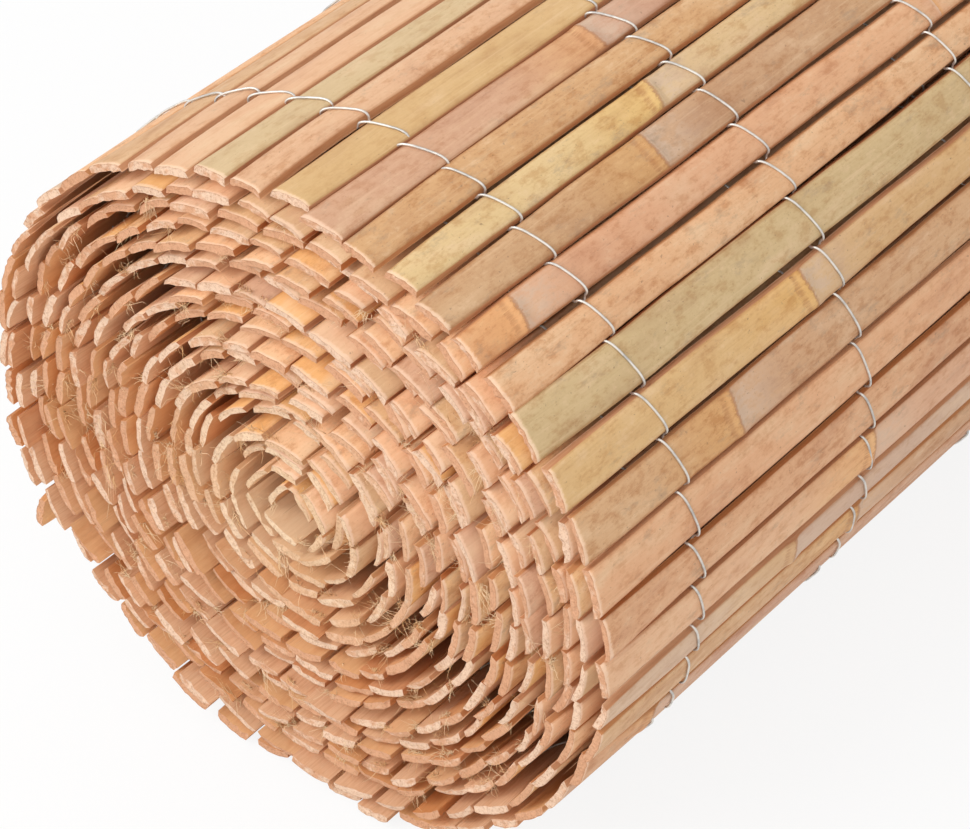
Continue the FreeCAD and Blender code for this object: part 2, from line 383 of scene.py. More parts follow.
class Slats:
    """The slats of one turn as a grid: slats, rings along their length, points round them.

    Across a slat s runs from -1 to 1. The points of a ring go over the skin as s grows, and
    then back along the inner face.
    """
    # Bamboo nodes: their distances, the ridge and the groove past it, and how they tilt and bow.
    NO_NODE = 10.0
    INTERNODE = (0.27, 0.36)
    RIDGE_WIDTH = 2.0 * MM
    RIDGE_FADE = 0.4
    GROOVE_PLACE = 2.6 * MM
    GROOVE_WIDTH = 1.0 * MM
    GROOVE_SHARE = 0.5
    NODE_TILT = 0.5 * MM
    NODE_BOW = 1.1 * MM

    # The section: the skin's sag, the room beside a slat, and shares of the sizes.
    SAG = 0.37 * MM
    ROOM = 0.05 * MM
    LEAST_HOLLOW = 0.2
    INNER_ROUND = 0.3
    INNER_FLARE = 0.2
    FRAY_DEPTH = 3 * MM

    # Waves along a slat: the shortest, the longest and the share, and where they are weaker.
    WAVES = ((0.25, 0.6, 1.0), (0.07, 0.16, 0.45), (0.03, 0.06, 0.22))
    SKIN_WAVE = 0.25
    SIDE_WAVE = 0.5

    # A sawn end, in shares of its raggedness, and the chance of a splinter.
    LEAN = 0.6
    SKIN_JAG = 0.4
    INNER_JAG = 0.7
    SPLINTER = 2.4
    SPLINTER_CHANCE = 0.08
    MOST_JAG = 3.5

    # Loose ends: the most that chance gives, and the swells round a turn.
    MOST_STRAY = 1.8
    OUTWARD_SHARE = 0.5
    SWELLS = (1, 2, 5)
    FREE_SLIDE = 0.7

    # The range in which the materials' patterns start, and the count of paler turns at the core.
    PATTERN_STARTS = 500
    CORE_TURNS = 7

    def __init__(self, mat, turn, columns, swell, chance):
        self.own = np.flatnonzero(mat.turn == turn)
        self.mat = mat
        self.chance = chance
        self.count = len(self.own)
        self.s = np.linspace(-1, 1, columns)
        self.front = mat.front[self.own]
        self.half = mat.width[self.own] / 2
        self.tall = mat.thickness[self.own] / 2
        self.nodes = np.full((self.count, 2), self.NO_NODE)
        self.swell = swell
        self.free_lift = 0.0

    def set_nodes(self, first):
        """Bamboo nodes along each slat, the second one an internode past the first."""
        gap = self.chance.uniform(*self.INTERNODE, self.count)
        self.nodes = np.stack((first, first + gap), axis=1)

    def past_node(self, along):
        """Signed distance past the nearest node at each point of the skin.

        A node tilts across its slat with s and bows with s^2.
        """
        past = along[:, :, None] - self.nodes[:, None, :]
        nearest = np.abs(past).argmin(axis=2)[:, :, None]
        past = np.take_along_axis(past, nearest, axis=2)
        past = past - self.chance.normal(0, self.NODE_TILT, (self.count, 1, 1)) * self.s
        return past - self.chance.uniform(0, self.NODE_BOW, (self.count, 1, 1)) * self.s ** 2

    def wander(self, along, reach):
        """A slow wave along each slat: three sines of random length and phase."""
        total = np.zeros_like(along)
        for shortest, longest, share in self.WAVES:
            wave = self.chance.uniform(shortest, longest, (self.count, 1))
            phase = self.chance.uniform(0, math.tau, (self.count, 1))
            total += share * reach * np.sin(math.tau * along / wave + phase)
        return total

    def cut(self, reach):
        """Raggedness of one sawn end, for the skin and then for the inner edge.

        The two edges share a tilt and lean apart, each point has a jag, and here and there the
        inner edge has a splinter.
        """
        shape = (self.count, 1)
        tilt = self.chance.normal(0, reach, shape) * self.s
        lean = self.chance.normal(0, self.LEAN * reach, shape)
        columns = (self.count, len(self.s))
        skin = tilt + lean + self.chance.normal(0, self.SKIN_JAG * reach, columns)
        inner = tilt - lean + self.chance.normal(0, self.INNER_JAG * reach, columns)
        torn = self.chance.random(columns) < self.SPLINTER_CHANCE
        inner += torn * self.chance.normal(0, self.SPLINTER * reach, columns)
        limit = self.MOST_JAG * reach
        return np.concatenate((skin, inner[:, ::-1]), axis=1).clip(-limit, limit)

    def stray(self, along, reach):
        """How a slat's loose ends stray: outward, sideways and twisted, over slats and rings.

        Each fades as (1 - d / loose)^2, where d is the distance from the end. The outward stray
        is halved where it would lift a slat, gets a swell of three sines round the turn and is
        clipped. The last slat's front is then lifted, slid and twisted as the free end.
        """
        total = np.zeros((3, *along.shape))
        limit = self.MOST_STRAY
        shares = [(1 - end / LOOSE).clip(0) ** 2 for end in (along, SLAT_LENGTH - along)]
        for share in shares:
            chance = self.chance.normal(0, 1, (3, self.count, 1)).clip(-limit, limit)
            total += chance * np.array(reach)[:, None, None] * share
        total[0] = np.where(total[0] > 0, self.OUTWARD_SHARE, 1.0) * total[0]
        spot = np.arange(self.count)[:, None] / self.count * math.tau
        for share in shares:
            phases = self.chance.uniform(0, math.tau, 3)
            swell = sum(np.sin(wave * spot + phase) for wave, phase in zip(self.SWELLS, phases))
            total[0] += self.swell * reach[0] * swell * share
        total[0] = total[0].clip(-STRAY, STRAY)
        front = shares[0][-1]
        total[0, -1] += self.free_lift * front
        total[1, -1] += self.FREE_SLIDE * self.free_lift * front
        total[2, -1] += self.free_lift / self.half[-1] * front
        return total

    def section(self, along, past, sizes):
        """Points round every ring from the slat's middle, across the slat and outward.

        The skin's height is half the thickness less sag * s^2 and edge_round * s^8, with a ridge
        of exp(-(p / w)^2) at a node and a groove past it, where p is the distance past the node.
        The inner face is hollowed by hollow * (1 - s^2). The long edges wander and the sides
        lean by a bevel. Near a sawn end the outline is torn, which fades as exp(-d / depth).
        """
        s = self.s
        ridge = np.exp(-(past / self.RIDGE_WIDTH) ** 2)
        groove = np.exp(-((past - self.GROOVE_PLACE) / self.GROOVE_WIDTH) ** 2)
        lift = sizes.node_ridge * (ridge - self.GROOVE_SHARE * groove)
        lift = lift + self.wander(along, self.SKIN_WAVE * sizes.edge_wave)[:, :, None]
        left = self.half[:, None] - self.ROOM + self.wander(along, sizes.edge_wave)
        right = self.half[:, None] - self.ROOM + self.wander(along, sizes.edge_wave)
        side = np.where(s < 0, left[:, :, None], right[:, :, None]) * s
        tall = self.tall[:, None, None]
        sag = self.SAG * s ** 2 + sizes.edge_round * s ** 8
        skin = tall - sag + lift * (1 - self.RIDGE_FADE * s ** 2)
        hollow = self.chance.uniform(self.LEAST_HOLLOW, 1, (self.count, 1, 1)) * sizes.hollow
        inner = -tall + hollow * (1 - s ** 2) + self.INNER_ROUND * sizes.edge_round * s ** 8
        inner = np.broadcast_to(inner, skin.shape)
        outward = np.concatenate((skin, inner[:, :, ::-1]), axis=2)
        for from_end in (along, SLAT_LENGTH - along):
            torn = self.chance.normal(0, sizes.fray, (self.count, 1, 2 * len(s)))
            outward = outward + torn * np.exp(-from_end / self.FRAY_DEPTH)[:, :, None]
        bevel = self.chance.uniform(0, sizes.bevel, (self.count, 2))
        bevel = np.where(s < 0, bevel[:, :1], bevel[:, 1:])[:, None] * s
        flare = side + self.INNER_FLARE * bevel
        across = np.concatenate((side - bevel, flare[:, :, ::-1]), axis=2)
        return across, outward

    def laid(self, along, run, across, outward, sizes):
        """Points of the rings in the roll, each ring twisted, slid and lifted by its stray.

        A slat's middle line wanders, and lies askew from one end to the other.
        """
        reach = (sizes.end_lift, sizes.end_slide, sizes.end_twist)
        lifted, slid, twist = self.stray(along, reach)[..., None]
        slid = slid + self.SIDE_WAVE * self.wander(along, sizes.edge_wave)[:, :, None]
        limit = 2 * sizes.skew
        askew = self.chance.normal(0, sizes.skew, (self.count, 1, 1)).clip(-limit, limit)
        slid = slid + askew * (2 * along / SLAT_LENGTH - 1)[:, :, None]
        aside = across * np.cos(twist) - outward * np.sin(twist) + slid
        above = across * np.sin(twist) + outward * np.cos(twist) + lifted
        middle = self.mat.middle[self.own][:, None, None]
        tangent = self.mat.tangent[self.own][:, None, None]
        normal = self.mat.normal[self.own][:, None, None]
        flat = middle + tangent * aside[..., None] + normal * above[..., None]
        high = self.front[:, None, None] + run
        return np.stack((flat[..., 0], high, flat[..., 1]), axis=-1)

    def faces(self, shape):
        """Corners of the skins, of the split and inner faces, and of the sawn ends."""
        columns = len(self.s)
        number = np.arange(math.prod(shape)).reshape(shape)
        beside = np.roll(number, -1, axis=2)
        walls = np.stack((number[:, :-1], number[:, 1:], beside[:, 1:], beside[:, :-1]), axis=-1)
        skins = walls[:, :, :columns - 1]
        splits = walls[:, :, columns - 1:]
        top = number[:, :, :columns]
        low = number[:, :, columns:][:, :, ::-1]
        ends = np.stack((top[..., :-1], top[..., 1:], low[..., 1:], low[..., :-1]), axis=-1)
        fronts = ends[:, 0]
        backs = ends[:, -1][..., [1, 0, 3, 2]]
        cuts = np.concatenate((fronts.reshape(-1, 4), backs.reshape(-1, 4)))
        return skins.reshape(-1, 4), splits.reshape(-1, 4), cuts

    def build(self, name, along, sizes, tones, wear, materials):
        """Lay the points, make the object and give it the attributes that its materials read."""
        s = self.s
        past = self.past_node(along)
        across, outward = self.section(along, past, sizes)
        run = np.repeat(along[:, :, None], 2 * len(s), axis=2)
        run[:, 0] += self.cut(sizes.cut_jag)
        run[:, -1] += self.cut(sizes.cut_jag)
        points = self.laid(along, run, across, outward, sizes)
        shape = points.shape[:3]
        faces = self.faces(shape)
        smooth = [np.full(len(part), slot == 0) for slot, part in enumerate(faces)]
        slots = [np.full(len(part), slot) for slot, part in enumerate(faces)]
        thing = add_mesh(name, points.reshape(-1, 3), faces, smooth, materials, slots)

        # Places on a slat go to the materials in mm.
        seed = self.chance.uniform(0, self.PATTERN_STARTS, (self.count, 1, 1))
        depth = np.repeat((1.0, 0.0), len(s))
        edge = np.concatenate((s, s[::-1]))
        far = np.concatenate((past, past[:, :, ::-1]), axis=2) / MM
        core = (1 - self.mat.turn[self.own[0]] / self.CORE_TURNS).clip(0)
        rust = self.chance.random((self.count, 1, 1))
        add_attribute(thing, "tone", shape, tones.T[:, :, None, None])
        add_attribute(thing, "place", shape, (across / MM, run / MM, seed))
        add_attribute(thing, "growth", shape, (depth, far, edge))
        add_attribute(thing, "wear", shape, (wear[:, None, None], core, rust))
        return thing


class Value:
    """A number in a shader: the usual operators add Math nodes, numbers alone stay numbers."""

    def __init__(self, shader, socket):
        self.shader = shader
        self.socket = socket

    def math(self, operation, *values):
        numbers = dict(enumerate(values))
        return self.shader.node("ShaderNodeMath", {"operation": operation}, numbers)

    def __add__(self, other):
        return self.math("ADD", self, other)

    def __radd__(self, other):
        return self.math("ADD", other, self)

    def __sub__(self, other):
        return self.math("SUBTRACT", self, other)

    def __rsub__(self, other):
        return self.math("SUBTRACT", other, self)

    def __mul__(self, other):
        return self.math("MULTIPLY", self, other)

    def __rmul__(self, other):
        return self.math("MULTIPLY", other, self)

    def __abs__(self):
        return self.math("ABSOLUTE", self)

    def least(self, other):
        return self.math("MINIMUM", self, other)

    def most(self, other):
        return self.math("MAXIMUM", self, other)


class Shader:
    """The nodes of one material or of the world."""

    def __init__(self, owner):
        owner.use_nodes = True
        self.owner = owner
        self.tree = owner.node_tree
        self.tree.nodes.clear()

    def node(self, kind, options=None, sockets=None, output=0):
        """Add a node: its options come first, then values or links for its sockets."""
        node = self.tree.nodes.new(kind)
        for key, value in (options or {}).items():
            setattr(node, key, value)
        for key, value in (sockets or {}).items():
            socket = self.find(node.inputs, key)
            if isinstance(value, Value):
                self.tree.links.new(value.socket, socket)
            else:
                socket.default_value = value
        return Value(self, self.find(node.outputs, output)) if node.outputs else None

    @staticmethod
    def find(sockets, key):
        if isinstance(key, int):
            return sockets[key]
        return next(socket for socket in sockets if socket.enabled and socket.name == key)

    def attribute(self, name):
        """The three numbers of an attribute."""
        vector = self.node("ShaderNodeAttribute", {"attribute_name": name}, output="Vector")
        return [
            self.node("ShaderNodeSeparateXYZ", sockets={"Vector": vector}, output=axis)
            for axis in "XYZ"]

    def vector(self, x, y, z):
        return self.node("ShaderNodeCombineXYZ", sockets={"X": x, "Y": y, "Z": z})

    def noise(self, vector, detail, roughness, scale=1.0):
        return self.node(
            "ShaderNodeTexNoise", sockets={
                "Vector": vector, "Scale": scale, "Detail": detail, "Roughness": roughness},
            output="Fac")

    def step(self, value, low, high):
        """Smooth step from 0 at low to 1 at high."""
        return self.node(
            "ShaderNodeMapRange", {"interpolation_type": "SMOOTHSTEP"},
            {"Value": value, "From Min": low, "From Max": high})

    def mix(self, share, one, two, blend="MIX"):
        one = one if isinstance(one, Value) else (*one, 1.0)
        two = two if isinstance(two, Value) else (*two, 1.0)
        return self.node(
            "ShaderNodeMix", {"data_type": "RGBA", "blend_type": blend},
            {"Factor": share, "A": one, "B": two}, "Result")

    def tint(self, share, base, shade):
        """Multiply a colour by a shade, as far as the share says."""
        return self.mix(share, base, shade, "MULTIPLY")

    def bump(self, height, strength, distance):
        return self.node(
            "ShaderNodeBump", sockets={
                "Height": height, "Strength": strength, "Distance": distance})

    def finish(self, sockets):
        """Close the material with one Principled shader."""
        surface = self.node("ShaderNodeBsdfPrincipled", sockets=sockets)
        self.node("ShaderNodeOutputMaterial", sockets={"Surface": surface})
        return self.owner


def skin_material(tones):
    """Bamboo skin: streaks along the fibre, blotches, specks, smudges, node scars and bloom."""
    paint = Shader(bpy.data.materials.new("bamboo_skin"))
    across, along, seed = paint.attribute("place")
    past, edge = paint.attribute("growth")[1:]
    wear = paint.attribute("wear")[0]
    tone = paint.node("ShaderNodeAttribute", {"attribute_name": "tone"}, output="Color")

    def grain(wide, long, start, detail, roughness):
        """Noise with its own scales across and along the slat, and its own start."""
        place = paint.vector(across * wide, along * long, seed + start)
        return paint.noise(place, detail, roughness)

    streaks = grain(2.2, 0.03, 0, 4.0, 0.65)
    clouds = grain(0.12, 0.035, 40, 3.0, 0.55)
    mottle = grain(0.36, 0.17, 80, 6.0, 0.7)
    fine = grain(1.7, 0.9, 120, 4.0, 0.7)

    worn = 0.25 + wear * 0.75
    flecks = 0.2 + wear * 0.45
    base = paint.mix(paint.step(clouds, 0.5, 0.75) * 0.5, tone, tones.pale)
    base = paint.tint(paint.step(clouds, 0.48, 0.27) * 0.65, base, CLOUDED)
    base = paint.tint(paint.step(mottle, 0.48, 0.66) * worn * 0.9, base, BLOTCHED)
    base = paint.mix(paint.step(mottle, 0.46, 0.3) * worn * 0.4, base, tones.pale)
    base = paint.tint(paint.step(fine, 0.52, 0.74) * flecks, base, FLECKED)
    base = paint.tint(paint.step(streaks, 0.5, 0.74) * 0.34, base, STREAKED)
    base = paint.mix(paint.step(streaks, 0.46, 0.3) * 0.25, base, tones.pale)

    ragged = past + fine * 2.2 + mottle * 1.4 - 1.8
    after = paint.step(ragged, -0.3, 0.5)
    base = paint.tint(paint.step(past, -34, -3) * (1 - after) * 0.72, base, SUNNED)
    base = paint.tint(after * paint.step(past, 130, 10) * 0.7, base, ROSY)
    bloom = after * paint.step(past, 24, 0) * (0.2 + 0.8 * paint.step(mottle, 0.38, 0.6)) * 0.68
    base = paint.mix(bloom, base, tones.bloom)
    rim = paint.step(abs(ragged + 2.6), 1.3, 0.2) * 0.5 * paint.step(streaks, 0.3, 0.6)
    line = paint.step(abs(ragged - 0.1), 0.8, 0.1) * (0.3 + 0.5 * fine)
    base = paint.mix(rim + line, base, tones.scar)

    spot = grain(0.9, 0.6, 200, 2.0, 0.6)
    base = paint.mix(paint.step(spot + wear * 0.03, 0.72, 0.8) * 0.5, base, tones.speck)
    tiny = grain(2.4, 1.5, 230, 1.0, 0.5)
    base = paint.mix(paint.step(tiny + wear * 0.03, 0.75, 0.82) * 0.45, base, tones.speck)
    smear = grain(0.22, 0.09, 260, 5.0, 0.75)
    base = paint.mix(paint.step(smear + wear * 0.1, 0.62, 0.82) * 0.5, base, tones.smudge)

    split_edge = paint.step(abs(edge) + streaks * 0.25 - 0.12, 0.88, 1.0) * 0.6
    base = paint.tint(split_edge, base, SPLIT_EDGE)
    from_end = along.least(SLAT_LENGTH / MM - along)
    torn = paint.step(from_end - fine * 1.6, 0.3, -0.5) * 0.6
    base = paint.mix(torn, base, tones.pith)

    relief = streaks * 0.5 + fine * 0.5 + mottle * 0.6
    return paint.finish({
        "Base Color": base,
        "Roughness": 0.5 + mottle * 0.25,
        "Specular IOR Level": 0.3,
        "Normal": paint.bump(relief, 0.5, 0.16 * MM)})


def split_material(tones):
    """Split and inner faces: coarse fibres along the slat, orange to tan, with brown seams, and
    painted shade on the split sides.
    """
    paint = Shader(bpy.data.materials.new("bamboo_split"))
    across, along, seed = paint.attribute("place")
    depth = paint.attribute("growth")[0]
    wear, core, rust = paint.attribute("wear")
    fibre_place = paint.vector(across * 2.2 + depth * 6, along * 0.07, seed)
    cloud_place = paint.vector(across * 0.25 + depth * 0.6, along * 0.09, seed + 60)
    fibres = paint.noise(fibre_place, 4.0, 0.65)
    clouds = paint.noise(cloud_place, 4.0, 0.65)
    base = paint.mix(paint.step(fibres, 0.25, 0.7), tones.split, tones.split_pale)
    base = paint.mix(paint.step(wear, 0.55, 1.0) * 0.5, base, tones.amber)
    base = paint.mix(core * 0.55, base, tones.cream)
    base = paint.tint(paint.step(rust, 0.62, 1.0) * 0.9, base, RUSTY)
    # Painted shade: the split sides darken from near the inner edge up to the skin, standing in
    # for the shade in the gaps between slats.
    base = paint.tint(paint.step(depth, 0.0, 0.3) * 0.85, base, PAINTED_GAP_SHADE)
    base = paint.tint(paint.step(clouds, 0.46, 0.72) * 0.55, base, STAINED)
    base = paint.mix(paint.step(fibres, 0.56, 0.8) * 0.5, base, tones.seam)
    return paint.finish({
        "Base Color": base,
        "Roughness": 0.7 + fibres * 0.2,
        "Specular IOR Level": 0.25,
        "Normal": paint.bump(fibres, 0.45, 0.2 * MM)})


def end_material(tones):
    """Sawn end: pinkish grain with pale pith and darker fibre bundles that crowd at the skin."""
    paint = Shader(bpy.data.materials.new("bamboo_end_grain"))
    across, seed = paint.attribute("place")[::2]
    depth = paint.attribute("growth")[0]
    wear, core = paint.attribute("wear")[:2]
    place = paint.vector(across, depth * 2.4, seed)
    dots = paint.node(
        "ShaderNodeTexVoronoi", {"feature": "F1"}, {"Vector": place, "Scale": 2.1}, "Distance")
    rough = paint.noise(paint.vector(across * 1.3, depth * 2.2, seed + 30), 5.0, 0.8)
    clouds = paint.noise(paint.vector(across * 0.35, depth, seed + 60), 2.0, 0.5)
    bundles = paint.step(dots, 0.36, 0.14) * paint.step(depth, 0.1, 0.9)
    share = paint.step(clouds + wear * 0.5 - 0.25, 0.35, 0.65)
    base = paint.mix(share, tones.pith, tones.grain)
    base = paint.mix(core * 0.6, base, tones.cream)
    base = paint.mix(bundles * 0.3, base, tones.bundle)
    base = paint.mix(paint.step(rough, 0.46, 0.7) * 0.75, base, tones.bundle)
    base = paint.mix(paint.step(depth + rough * 0.3, 0.95, 1.15) * 0.35, base, tones.seam)
    return paint.finish({
        "Base Color": base,
        "Roughness": 0.8 + rough * 0.15,
        "Specular IOR Level": 0.2,
        "Normal": paint.bump(rough + dots * 0.4, 1.0, 0.5 * MM)})


def wire_material(tones):
    """Galvanised wire: pale zinc with dull patches along it."""
    paint = Shader(bpy.data.materials.new("galvanised_wire"))
    place = paint.node("ShaderNodeTexCoord", output="Object")
    dull = paint.noise(place, 3.0, 0.6, scale=260.0)
    base = paint.mix(paint.step(dull, 0.4, 0.7) * 0.7, tones.zinc, tones.dull_zinc)
    return paint.finish({
        "Base Color": base,
        "Metallic": 0.6,
        "Roughness": 0.3 + dull * 0.25,
        "Normal": paint.bump(dull, 0.2, 0.05 * MM)})


def fibre_material(tones):
    """Torn fibres: cream and straw strands."""
    paint = Shader(bpy.data.materials.new("torn_fibre"))
    place = paint.node("ShaderNodeTexCoord", output="Object")
    strands = paint.noise(place, 2.0, 0.5, scale=140.0)
    base = paint.mix(paint.step(strands, 0.4, 0.7), tones.cream, tones.fibre)
    return paint.finish({
        "Base Color": base,
        "Roughness": 0.6 + strands * 0.2,
        "Specular IOR Level": 0.3})


class FENCE_OT_lay_slats(bpy.types.Operator):
    """Build the slats of every turn, the outer turn with its bamboo nodes in fine rings"""
    bl_idname = "fence.lay_slats"
    bl_label = "Lay slats"

    # Rings along a slat and columns across it.
    INNER_RINGS = np.array((0.0, LOOSE, SLAT_LENGTH - LOOSE, SLAT_LENGTH))
    INNER_COLUMNS = 7
    OUTER_RINGS = 42
    OUTER_COLUMNS = 11
    END_RINGS = np.array((1.2 * MM, 5 * MM, SLAT_LENGTH - 5 * MM, SLAT_LENGTH - 1.2 * MM))
    NODE_RINGS = np.array((-7, -4.5, -3.4, -2.6, -1.8, -0.8, 0, 0.9, 2.2, 4.5)) * MM
    MARGIN = 1 * MM

    # How strongly the ends of a turn swell out and in round the roll, in shares of the end lift.
    INNER_SWELL = 0.85
    OUTER_SWELL = 0.45

    # Tones, how far a slat's own shade departs from its tone, and the most marked tones.
    INNER_TONES = ("orange", "amber", "tan", "veined", "peach", "mottled", "pink", "orange")
    OUTER_TONES = ("peach", "pink", "golden", "straw", "tan", "mottled", "orange", "khaki", "grey")
    SHADES = (0.93, 1.05)
    MARKED = ("mottled", "veined")

    # Distance of a slat's first node from the front, which moves back where none shows.
    FIRST_NODE = (0.02, 0.3)
    UNSEEN_FROM = 0.185
    UNSEEN_SHARE = 0.4

    def execute(self, context):
        tones, sizes = settings()
        chance = np.random.default_rng(SLAT_SEED)
        mat = Mat()
        materials = [skin_material(tones), split_material(tones), end_material(tones)]
        for turn, node in enumerate(TURNS[:-1]):
            slats = Slats(mat, turn, self.INNER_COLUMNS, self.INNER_SWELL, chance)
            names = chance.choice(self.INNER_TONES, slats.count)
            along = np.tile(self.INNER_RINGS, (slats.count, 1))
            self.place(slats, node, along, sizes, tones, names, materials)
        slats = Slats(mat, OUTER_TURN, self.OUTER_COLUMNS, self.OUTER_SWELL, chance)
        slats.free_lift = sizes.free_lift
        names = self.choose_outer(slats, chance)
        even = np.linspace(0, SLAT_LENGTH, self.OUTER_RINGS)
        even = np.tile(np.concatenate((even, self.END_RINGS)), (slats.count, 1))
        close = slats.nodes[:, :, None] + self.NODE_RINGS
        close = close.clip(self.MARGIN, SLAT_LENGTH - self.MARGIN).reshape(slats.count, -1)
        along = np.sort(np.concatenate((even, close), axis=1), axis=1)
        self.place(slats, TURNS[-1], along, sizes, tones, names, materials)
        return {"FINISHED"}

    def choose_outer(self, slats, chance):
        """Tones of the outer slats and their first nodes; the shown ones come from the list."""
        names = chance.choice(self.OUTER_TONES, slats.count)
        first = chance.uniform(*self.FIRST_NODE, slats.count)
        behind = (SHOWN_FROM - slats.mat.angle[slats.own]) % math.tau
        for slat, (tone, node) in zip(behind.argsort(), SHOWN_SLATS):
            unseen = self.UNSEEN_FROM + self.UNSEEN_SHARE * first[slat]
            names[slat] = tone
            first[slat] = unseen if node is None else node * MM
        slats.set_nodes(first)
        return names

    def place(self, slats, node, along, sizes, tones, names, materials):
        """Build one turn in place of its node, each slat in its own shade of its tone."""
        shades = np.array([getattr(tones, name) for name in names])
        shades = shades * slats.chance.uniform(*self.SHADES, (slats.count, 1))
        name = node.replace("slats_turn", "bamboo_turn")
        wear = np.where(np.isin(names, self.MARKED), 1.0, slats.chance.random(slats.count))
        thing = slats.build(name, along, sizes, shades, wear, materials)
        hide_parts(node)


class FENCE_OT_twine_wire(bpy.types.Operator):
    """Twine two strands of wire round the slats in every row, over one slat and under the next"""
    bl_idname = "fence.twine_wire"
    bl_label = "Twine wire"

    # Steps over a slat and sides of the wire.
    INNER_STEPS = 4
    INNER_SIDES = 3
    OUTER_STEPS = 16
    OUTER_SIDES = 6

    # Stitches: the sway in shares of its size, and the power of its path over a slat.
    SWAY = (0.6, 1.25)
    OVER_POWER = 1.4

    # A row drifts in a slow wave along the slats, and moves forward this far before the free end.
    DRIFT = 0.5 * MM
    DRIFT_RATE = 0.37
    DRIFT_PHASE = 900
    FORWARD_FROM = 38
    FORWARD_OVER = 9

    # Twisted ends: steps, where the twist starts, its turns, its bend and its radius.
    TAIL_STEPS = 22
    TAIL_START = 0.12
    TAIL_TURNS = 3.5
    TAIL_BEND = 4 * MM
    TAIL_RADIUS = 1.06

    def execute(self, context):
        tones, sizes = settings()
        chance = np.random.default_rng(WIRE_SEED)
        mat = Mat()
        material = wire_material(tones)
        outer = np.flatnonzero(mat.turn == OUTER_TURN)
        inner = np.flatnonzero(mat.turn < OUTER_TURN)
        for node in ROWS:
            low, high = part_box(node)
            level = (low.y + high.y) / 2
            sway = chance.uniform(*self.SWAY, (2, len(mat.turn) + 1)) * sizes.stitch
            inside = self.strands(mat, inner, level, self.INNER_STEPS, sizes, sway)
            outside = self.strands(mat, outer, level, self.OUTER_STEPS, sizes, sway)
            outside = np.concatenate((outside, self.tails(mat, outside, sizes)), axis=1)
            groups = []
            for paths, sides in ((inside, self.INNER_SIDES), (outside, self.OUTER_SIDES)):
                radii = np.full(paths.shape[:2], sizes.wire_radius)
                groups.append(tubes(paths, radii, sides))
            thing = add_tubes(node.replace("wire_row", "twined_wire"), groups, material)
            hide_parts(node)
        return {"FINISHED"}

    def tails(self, mat, paths, sizes):
        """The strands' ends past the last slat, twisted round each other as a double helix.

        Its middle line runs on along the last slat's tangent and bends back as u^2.
        """
        u = np.linspace(self.TAIL_START, 1, self.TAIL_STEPS)
        turn = u[None, :] * self.TAIL_TURNS * math.tau + np.array((0.0, math.pi))[:, None]
        tangent = np.array((mat.tangent[-1, 0], 0.0, mat.tangent[-1, 1]))
        normal = np.array((mat.normal[-1, 0], 0.0, mat.normal[-1, 1]))
        root = paths[:, -1].mean(axis=0)
        thread = root + tangent * (u * sizes.wire_tail)[:, None]
        thread = thread + AXIS * (u ** 2 * self.TAIL_BEND)[:, None]
        round_it = np.cos(turn)[..., None] * normal + np.sin(turn)[..., None] * AXIS
        return thread + self.TAIL_RADIUS * sizes.wire_radius * round_it

    def strands(self, mat, own, level, steps, sizes, sway):
        """Two paths that swap sides at each gap.

        Over a slat the path is the half of x^4 + h^2 = 1, where x runs from gap to gap and h
        is the height above the slat's middle. Along the roll it goes from one sway to the next
        with u^1.4 over a slat and with u under it, where u goes from 0 to 1.
        """
        edge = mat.tangent[own] * mat.width[own][:, None] / 2
        first = mat.middle[own] - edge
        last = mat.middle[own] + edge
        gaps = (last[:-1] + first[1:]) / 2
        starts = np.concatenate((first[:1], gaps))
        ends = np.concatenate((gaps, last[-1:]))
        turn = np.linspace(math.pi, 0, steps, endpoint=False)
        x = np.sign(np.cos(turn)) * np.abs(np.cos(turn)) ** (1 / 2)
        rise = np.sin(turn)
        u = (1 + x) / 2
        reach = mat.thickness[own] / 2 + sizes.wire_play + sizes.wire_radius
        over = own % 2 == np.array((0, 1))[:, None]
        side = np.where(over, 1.0, -1.0)[:, :, None]
        line = starts[:, None] * (1 - u)[:, None] + ends[:, None] * u[:, None]
        height = side * reach[:, None] * rise
        flat = line + mat.normal[own][:, None] * height[..., None]
        begin = side[..., 0] * sway[:, own]
        end = -side[..., 0] * sway[:, own + 1]
        share = np.where(over[:, :, None], u ** self.OVER_POWER, u)
        swayed = begin[..., None] * (1 - share) + end[..., None] * share
        past = own[:, None] + u - len(mat.turn)
        forward = ((-self.FORWARD_FROM - past) / self.FORWARD_OVER).clip(0, 1)
        drift = np.sin(past * self.DRIFT_RATE + self.DRIFT_PHASE * level) * self.DRIFT
        drift = drift + sizes.row_lag * (1 - forward) - sizes.row_drift * forward
        high = level + swayed + drift
        points = np.stack((flat[..., 0], high, flat[..., 1]), axis=-1)
        return points.reshape(2, -1, 3)


